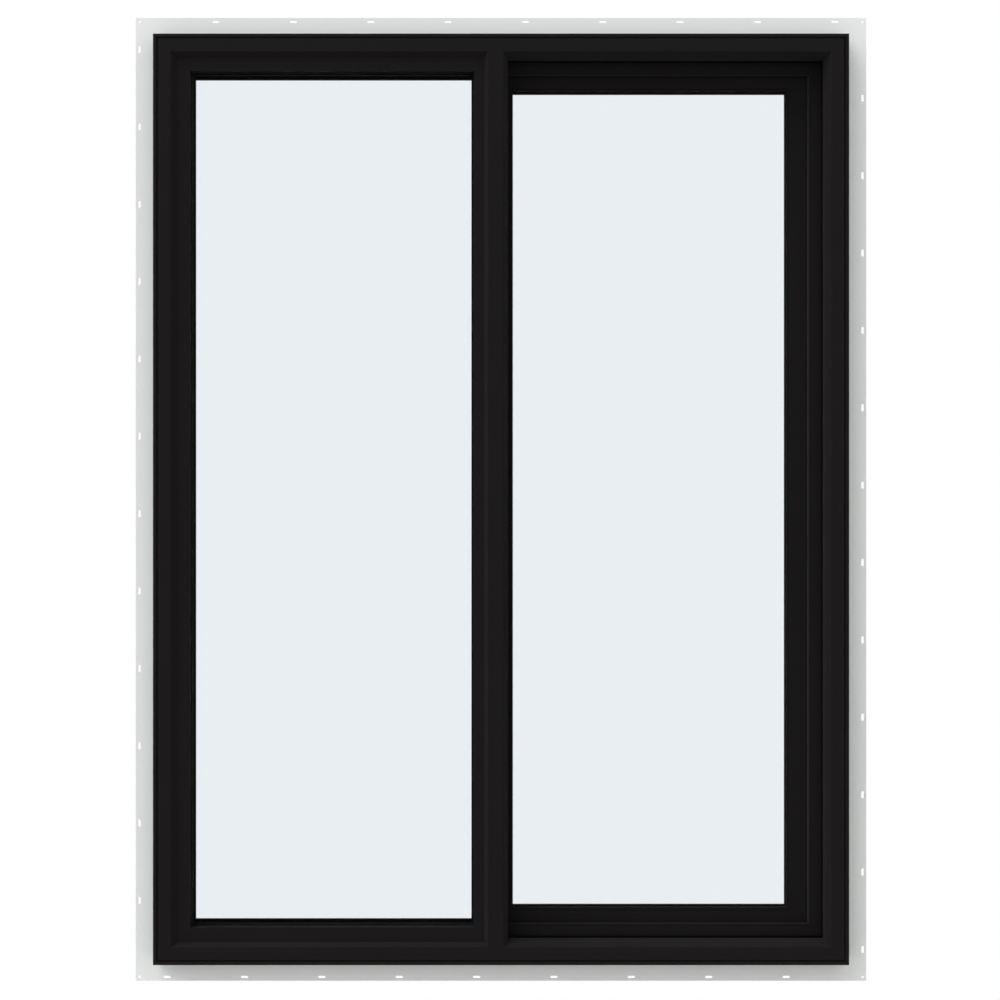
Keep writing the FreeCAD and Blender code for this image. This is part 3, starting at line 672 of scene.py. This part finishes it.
@dataclass(frozen=True)
class Pile:
    """Brush pile on a stiff backing: splayed tufts either side of a thin fin."""

    node: str
    outward: bool
    left_side: bool
    width: float = 5.0 * MM
    backing: float = 0.8 * MM
    pitch: float = 5.2 * MM
    root: float = 1.5 * MM
    splay: float = 2.3 * MM
    squeeze: float = 0.9
    fin: float = 0.25 * MM

    def build(self, finishes: Finishes) -> None:
        """Model a run each way, and copy them round the sash."""
        low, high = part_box(self.node)
        height = high.y - low.y
        back = high.y if self.outward else low.y
        about = 0.0 if self.outward else math.pi
        level = self._run(high.x - low.x, height)
        upright = self._run(high.z - low.z - 2 * self.width, height)
        middle = (low + high) / 2
        half = self.width / 2
        quarter = math.pi / 2
        runs = [
            Bench.copy(level, (middle.x, back, high.z - half), (0.0, 0.0, about)),
            Bench.copy(level, (middle.x, back, low.z + half), (0.0, 0.0, about)),
            Bench.copy(upright, (high.x - half, back, middle.z), (0.0, quarter, about)),
        ]
        if self.left_side:
            runs.append(
                Bench.copy(upright, (low.x + half, back, middle.z), (0.0, quarter, about))
            )
        Bench.discard(level, upright)
        seat(Bench.join(runs), f"{self.node}_brush", "pile", finishes.pile, self.node)

    def _run(self, length: float, height: float) -> bpy.types.Object:
        """Model one run along X.

        Args:
            length: Its length.
            height: How far its tufts stand towards -Y from the origin, with the backing.

        Returns:
            The run, about the origin.
        """
        backing = Bench.bar(
            (length, self.backing, self.width), (0.0, -self.backing / 2, 0.0)
        )
        Bench.pick("EDGE", lambda place, run: abs(run.x) > 0.9 and place.y < 0.0)
        bpy.ops.mesh.bevel(offset=0.25 * self.backing, segments=2, affect="EDGES")
        Bench.close()
        fin = Bench.bar((length, height * 0.8, self.fin), (0.0, -height * 0.4, 0.0))
        Bench.pick("EDGE", lambda place, run: abs(run.x) > 0.9 and place.y < 0.0)
        bpy.ops.mesh.bevel(offset=0.3 * self.fin, segments=1, affect="EDGES")
        Bench.close()
        return Bench.join([backing, fin, self._tufts(length, height)])

    def _tufts(self, length: float, height: float) -> bpy.types.Object:
        """Model one splayed tuft and repeat it along the run."""
        count = int(length / self.pitch)
        tall = height - self.backing
        start = -(count - 1) * self.pitch / 2
        middle = (start, -self.backing - tall / 2, 0.0)
        bpy.ops.object.select_all(action="DESELECT")
        bpy.ops.mesh.primitive_cone_add(
            vertices=6,
            radius1=self.root,
            radius2=self.splay,
            depth=tall,
            location=middle,
            rotation=(math.pi / 2, 0.0, 0.0),
        )
        bpy.ops.object.transform_apply(location=False, rotation=True, scale=False)
        bpy.ops.object.mode_set(mode="EDIT")
        bpy.ops.transform.resize(value=(1.0, 1.0, self.squeeze), center_override=middle)
        Bench.pick("FACE", lambda place, normal: normal.y < -0.9)
        bpy.ops.transform.translate(value=(0.0, 0.25 * tall, 0.0))
        bpy.ops.mesh.inset(thickness=0.3 * self.splay)
        bpy.ops.transform.translate(value=(0.0, -0.25 * tall, 0.0))
        Bench.close(60.0)
        Bench.modify(
            "ARRAY",
            {
                "use_relative_offset": False,
                "use_constant_offset": True,
                "constant_offset_displace": (self.pitch, 0.0, 0.0),
                "count": count,
            },
        )
        return bpy.context.active_object


@dataclass(frozen=True)
class Screw:
    """A cross-recessed screw head, domed or nearly flush."""

    radius: float
    height: float
    dome: float
    recess: float
    slot: float = 0.7 * MM

    def pattern(self) -> bpy.types.Object:
        """Model the head on the origin, facing up."""
        bpy.ops.object.select_all(action="DESELECT")
        bpy.ops.mesh.primitive_cylinder_add(
            vertices=32,
            radius=self.radius,
            depth=self.height,
            location=(0.0, 0.0, self.height / 2),
        )
        bpy.ops.object.mode_set(mode="EDIT")
        Bench.pick("FACE", lambda place, normal: normal.z > 0.9)
        bpy.ops.mesh.bevel(offset=self.dome, segments=5, affect="EDGES")
        head = Bench.close(50.0)
        cross = Bench.join([self._blade(0.0), self._blade(math.pi / 2)])
        Bench.take(head)
        Bench.modify(
            "BOOLEAN",
            {
                "operation": "DIFFERENCE",
                "solver": "EXACT",
                "use_self": True,
                "object": cross,
            },
        )
        Bench.discard(cross)
        Bench.take(head)
        bpy.ops.object.mode_set(mode="EDIT")
        bpy.ops.mesh.select_all(action="SELECT")
        bpy.ops.mesh.remove_doubles(threshold=0.00001)
        return Bench.close(30.0)

    def _blade(self, turn: float) -> bpy.types.Object:
        """Model one tapered blade of the driver that cuts the recess."""
        depth = self.recess * 2
        middle = (0.0, 0.0, self.height)
        blade = Bench.bar((self.radius * 1.15, self.slot, depth), middle)
        Bench.pick("FACE", lambda place, normal: normal.z < -0.9)
        low = (0.0, 0.0, self.height - self.recess)
        bpy.ops.transform.resize(value=(0.5, 0.7, 1.0), center_override=low)
        Bench.close()
        blade.rotation_euler = (0.0, 0.0, turn)
        bpy.ops.object.transform_apply(location=False, rotation=True, scale=False)
        return blade


@dataclass(frozen=True)
class LockFittings:
    """The screws, pivot cap and thumb ribs of the sash lock."""

    case_screw: Screw = Screw(2.6 * MM, 1.6 * MM, 1.1 * MM, 1.0 * MM)
    keeper_screw: Screw = Screw(2.2 * MM, 0.45 * MM, 0.3 * MM, 0.3 * MM, 0.6 * MM)
    case_pitch: float = 33.0 * MM
    keeper_pitch: float = 11.0 * MM
    keeper_plate: float = 1.2 * MM
    cap_radius: float = 4.4 * MM
    cap_height: float = 0.9 * MM
    lever_nose: float = 6.5 * MM
    ribs: int = 4
    rib_pitch: float = 2.2 * MM
    rib: Spot = (0.5 * MM, 6.4 * MM, 1.0 * MM)

    def build(self, finishes: Finishes) -> None:
        """Model each fitting once and set its copies on the lock."""
        self._case_screws(finishes)
        self._keeper_screws(finishes)
        self._cap(finishes)
        self._ribs(finishes)

    def _case_screws(self, finishes: Finishes) -> None:
        """Fix the lock's case with two pan heads."""
        low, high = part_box("lock_case")
        lever_low, lever_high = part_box("lock_lever")
        middle = (low.z + high.z) / 2
        depth = (lever_low.y + lever_high.y) / 2
        pattern = self.case_screw.pattern()
        heads = [
            Bench.copy(
                pattern, (low.x, depth, middle + offset), (0.0, -math.pi / 2, 0.0)
            )
            for offset in (-self.case_pitch, self.case_pitch)
        ]
        Bench.discard(pattern)
        seat(Bench.join(heads), "lock_case_screws", "hardware_metal", finishes.screw)

    def _keeper_screws(self, finishes: Finishes) -> None:
        """Fix the keeper with two low heads."""
        low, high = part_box("lock_keeper")
        middle = (low.z + high.z) / 2
        across = low.x + 3.85 * MM
        pattern = self.keeper_screw.pattern()
        heads = [
            Bench.copy(
                pattern,
                (across, low.y + self.keeper_plate, middle + offset),
                (-math.pi / 2, 0.0, 0.0),
            )
            for offset in (-self.keeper_pitch, self.keeper_pitch)
        ]
        Bench.discard(pattern)
        seat(Bench.join(heads), "lock_keeper_screws", "hardware_metal", finishes.screw)

    def _cap(self, finishes: Finishes) -> None:
        """Cover the lever's pivot with a shallow domed cap."""
        low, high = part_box("lock_lever")
        bpy.ops.object.select_all(action="DESELECT")
        bpy.ops.mesh.primitive_cylinder_add(
            vertices=40,
            radius=self.cap_radius,
            depth=self.cap_height,
            location=(
                low.x - self.cap_height / 2, (low.y + high.y) / 2, low.z + self.lever_nose
            ),
            rotation=(0.0, -math.pi / 2, 0.0),
        )
        bpy.ops.object.transform_apply(location=False, rotation=True, scale=False)
        bpy.ops.object.mode_set(mode="EDIT")
        Bench.pick("FACE", lambda place, normal: normal.x < -0.9)
        bpy.ops.mesh.bevel(offset=0.8 * self.cap_height, segments=4, affect="EDGES")
        seat(Bench.close(50.0), "lock_pivot_cap", "hardware_metal", finishes.coat)

    def _ribs(self, finishes: Finishes) -> None:
        """Rib the lever's free end for the thumb."""
        low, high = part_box("lock_lever")
        depth = (low.y + high.y) / 2
        top = high.z - self.lever_nose
        start = (low.x - self.rib[0] / 2, depth, top - (self.ribs - 1) * self.rib_pitch)
        Bench.bar(self.rib, start)
        Bench.pick("EDGE", lambda place, run: abs(run.x) < 0.1 and place.x < 0.0)
        bpy.ops.mesh.bevel(offset=0.3 * self.rib[0], segments=2, affect="EDGES")
        Bench.close()
        Bench.modify(
            "ARRAY",
            {
                "use_relative_offset": False,
                "use_constant_offset": True,
                "constant_offset_displace": (0.0, 0.0, self.rib_pitch),
                "count": self.ribs,
            },
        )
        piece = bpy.context.active_object
        seat(piece, "lock_lever_ribs", "hardware_metal", finishes.coat)


@dataclass
class OuterFrame:
    """The mitred outer frame and the fixed meeting stile."""

    across: tuple[str, ...] = ("frame_head", "frame_sill")
    upright: tuple[str, ...] = (
        "frame_jamb_fixed", "frame_jamb_sash", "mullion", "interlock_mullion",
    )

    def build(self, finishes: Finishes) -> None:
        """Dress the members along their own runs."""
        for node in self.across:
            dress(node, finishes.frame_across)
        for node in self.upright:
            dress(node, finishes.frame_upright)
        log.info("outer frame: %d members", len(self.across) + len(self.upright))


@dataclass
class NailFin:
    """The pale nailing strips round the frame."""

    across: tuple[str, ...] = ("nail_fin_head", "nail_fin_sill")
    upright: tuple[str, ...] = ("nail_fin_left", "nail_fin_right")

    def build(self, finishes: Finishes) -> None:
        """Dress the four strips."""
        for node in self.across:
            dress(node, finishes.fin_across)
        for node in self.upright:
            dress(node, finishes.fin_upright)
        log.info("nail fin: four strips")


@dataclass
class Light:
    """A glass unit with its beads, spacer and setting blocks; its gasket is modelled on its own.
    """

    name: str
    beads_across: tuple[str, ...]
    beads_upright: tuple[str, ...]

    def build(self, finishes: Finishes, across: bpy.types.Material,
              upright: bpy.types.Material) -> None:
        """Dress the glass unit and its beads."""
        dress(f"{self.name}_glass_outer", finishes.pane)
        dress(f"{self.name}_glass_inner", finishes.pane)
        dress(f"{self.name}_spacer", finishes.spacer)
        dress(f"{self.name}_setting_blocks", finishes.block)
        for node in self.beads_across:
            dress(node, across)
        for node in self.beads_upright:
            dress(node, upright)
        log.info("%s light: glass and beads", self.name)


@dataclass
class Sash:
    """The sliding sash's own members."""

    across: tuple[str, ...] = ("sash_rail_head", "sash_rail_sill")
    upright: tuple[str, ...] = (
        "sash_stile_jamb", "sash_stile_meeting", "interlock_sash", "pull_rail",
    )

    def build(self, finishes: Finishes) -> None:
        """Dress the sash's members."""
        for node in self.across:
            dress(node, finishes.sash_across)
        for node in self.upright:
            dress(node, finishes.sash_upright)
        log.info("sash: %d members", len(self.across) + len(self.upright))


@dataclass
class RunningGear:
    """The rail, rollers, blocks and lock."""

    def build(self, finishes: Finishes) -> None:
        """Dress the running gear and the hardware."""
        dress("roller_rail", finishes.rail)
        for node in ("roller_carriages", "roller_wheels", "lift_blocks"):
            dress(node, finishes.nylon)
        dress("jamb_bumpers", finishes.block)
        dress("fixed_tape", finishes.gasket)
        for node in ("lock_case", "lock_lever", "lock_keeper"):
            dress(node, finishes.coat)
        log.info("running gear and lock")


@dataclass
class Studio:
    """A pale floor, white surroundings, soft light and the camera."""

    focal_pixels: float = 1881.0
    image_pixels: float = 1000.0
    sensor: float = 36.0
    distance: float = 2.4355
    camera_left: float = 1.36 * MM
    camera_low: float = 0.84 * MM
    floor_drop: float = 0.35
    floor_reach: float = 3.0
    floor_clear: float = 0.55
    floor_white: float = 1.15
    floor_tone: float = 0.5
    ambient: float = 0.84
    ambient_behind: float = 0.45
    room: float = 0.02
    key: float = 5.4
    key_power: float = 8.0
    key_from: Spot = (-0.48, -0.15, 0.82)

    def build(self, low: Vector, high: Vector) -> None:
        """Set the stage round the window."""
        self._camera(low, high)
        self._floor(low, high)
        self._world()
        bpy.context.scene.view_settings.view_transform = "Standard"
        log.info("studio: camera, floor and light")

    def _camera(self, low: Vector, high: Vector) -> None:
        """Stand the camera square in front of the window."""
        data = bpy.data.cameras.new("camera")
        data.sensor_width = self.sensor
        data.lens = self.focal_pixels * self.sensor / self.image_pixels
        data.clip_start = 0.05
        data.clip_end = 100.0
        camera = bpy.data.objects.new("camera", data)
        bpy.context.scene.collection.objects.link(camera)
        middle = (low + high) / 2
        camera.location = (
            middle.x - self.camera_left,
            low.y - self.distance,
            middle.z - self.camera_low,
        )
        camera.rotation_euler = (math.pi / 2, 0.0, 0.0)
        bpy.context.scene.camera = camera

    def _floor(self, low: Vector, high: Vector) -> None:
        """Lay a pale floor that turns white away from the window and is clear from below."""
        middle = (low + high) / 2
        bpy.ops.object.select_all(action="DESELECT")
        bpy.ops.mesh.primitive_circle_add(
            vertices=96,
            radius=self.floor_reach,
            fill_type="NGON",
            location=(middle.x, middle.y, low.z - self.floor_drop),
        )
        floor = bpy.context.active_object
        floor.name = "floor"
        shader, material = Shader.for_material("pale floor")
        where = shader.coordinates((1.0, 1.0, 0.0))
        away = shader.add("ShaderNodeVectorMath", {"operation": "LENGTH"}, {0: where})
        distance = Value(shader, away.outputs["Value"])
        fade = shader.add(
            "ShaderNodeMapRange",
            {"interpolation_type": "SMOOTHSTEP"},
            {
                "Value": distance,
                "From Min": self.floor_clear,
                "From Max": self.floor_white,
            },
        )
        straight, mirrored = self._rays(shader)
        parts = shader.add("ShaderNodeSeparateXYZ", None, {0: where})
        front = Value(shader, parts.outputs["Y"]) * -1000.0
        front = front.at_least(0.0).at_most(1.0) * mirrored
        mask = Value(shader, fade.outputs[0]) * (straight + mirrored).at_most(1.0)
        mask = mask.at_least(front)
        tone = self.floor_tone
        matt = shader.add(
            "ShaderNodeBsdfDiffuse", None, {"Color": (tone, tone, tone * 0.99, 1.0)}
        )
        white = shader.add(
            "ShaderNodeEmission",
            None,
            {"Color": (1, 1, 1, 1), "Strength": 1.0 - front * (1.0 - self.room)},
        )
        mixed = shader.add(
            "ShaderNodeMixShader", None, {0: mask, 1: matt.outputs[0], 2: white.outputs[0]}
        )
        below = shader.add("ShaderNodeNewGeometry").outputs["Backfacing"]
        clear = shader.add("ShaderNodeBsdfTransparent")
        seen = shader.add(
            "ShaderNodeMixShader", None, {0: below, 1: mixed.outputs[0], 2: clear.outputs[0]}
        )
        shader.add("ShaderNodeOutputMaterial", None, {"Surface": seen.outputs[0]})
        floor.data.materials.append(material)
        floor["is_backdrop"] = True

    @staticmethod
    def _rays(shader: Shader) -> tuple[Value, Value]:
        """Tell apart the rays that meet the background.

        Args:
            shader: The floor's or the world's nodes.

        Returns:
            One on rays that see it straight or through glass, and one on mirrored rays. Both
            are nought on rays that only light the window.
        """
        path = shader.add("ShaderNodeLightPath")
        looking = 1.0 - Value(shader, path.outputs["Diffuse Depth"]).at_most(1.0)
        mirrored = Value(shader, path.outputs["Glossy Depth"]).at_most(1.0) * looking
        straight = Value(shader, path.outputs["Is Camera Ray"])
        straight = straight + Value(shader, path.outputs["Is Transmission Ray"])
        return (straight - mirrored).at_least(0.0).at_most(looking), mirrored

    def _world(self) -> None:
        """Light the window softly from the upper left, with white behind and round it.

        A mirrored ray meets the same white behind the window, and in front of it the key in
        a dim room.
        """
        world = bpy.data.worlds.new("studio")
        bpy.context.scene.world = world
        world.use_nodes = True
        shader = Shader(world.node_tree)
        where = shader.add("ShaderNodeTexCoord").outputs["Generated"]
        key_from = Vector(self.key_from).normalized()
        lobe = self._along(shader, where, tuple(key_from)).at_least(0.0) ** self.key_power
        key = lobe * self.key
        side = shader.add(
            "ShaderNodeMapRange",
            {"interpolation_type": "SMOOTHSTEP"},
            {
                "Value": self._along(shader, where, (0.0, -1.0, 0.0)),
                "From Min": -0.3,
                "From Max": 0.3,
            },
        )
        front = Value(shader, side.outputs[0])
        straight, mirrored = self._rays(shader)
        behind = self.ambient * self.ambient_behind
        soft = behind + front * (self.ambient - behind) + key
        room = 1.0 - front + front * (self.room + key)
        lighting = (1.0 - straight - mirrored).at_least(0.0)
        background = shader.add(
            "ShaderNodeBackground",
            None,
            {
                "Color": (1, 1, 1, 1),
                "Strength": straight + mirrored * room + lighting * soft,
            },
        )
        shader.add("ShaderNodeOutputWorld", None, {"Surface": background.outputs[0]})

    @staticmethod
    def _along(shader: Shader, where: bpy.types.NodeSocket, way: Spot) -> Value:
        """Give the cosine between a ray and a direction."""
        node = shader.add(
            "ShaderNodeVectorMath", {"operation": "DOT_PRODUCT"}, {0: where, 1: way}
        )
        return Value(shader, node.outputs["Value"])


def main() -> None:
    """Build the window and its studio."""
    logging.basicConfig(level=logging.INFO, format="%(message)s")
    cad_low, cad_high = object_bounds()
    finishes = Finishes()
    OuterFrame().build(finishes)
    NailFin().build(finishes)
    Light(
        "fixed",
        ("fixed_bead_head", "fixed_bead_sill"),
        ("fixed_bead_jamb", "fixed_bead_mullion"),
    ).build(finishes, finishes.bead_across, finishes.bead_upright)
    Light(
        "sash",
        ("sash_bead_head", "sash_bead_sill"),
        ("sash_bead_meeting", "sash_bead_jamb"),
    ).build(finishes, finishes.sash_across, finishes.sash_upright)
    Sash().build(finishes)
    RunningGear().build(finishes)
    Gasket(
        "fixed",
        "fixed_bead_jamb", "fixed_bead_mullion", "fixed_bead_sill", "fixed_bead_head",
        1.6 * MM,
    ).build(finishes)
    Gasket(
        "sash",
        "sash_stile_meeting", "sash_stile_jamb", "sash_rail_sill", "sash_rail_head",
        1.0 * MM,
    ).build(finishes)
    Pile("pile_exterior", outward=True, left_side=True).build(finishes)
    Pile("pile_interior", outward=False, left_side=False).build(finishes)
    LockFittings().build(finishes)
    Studio().build(cad_low, cad_high)


if __name__ == "__main__":
    main()
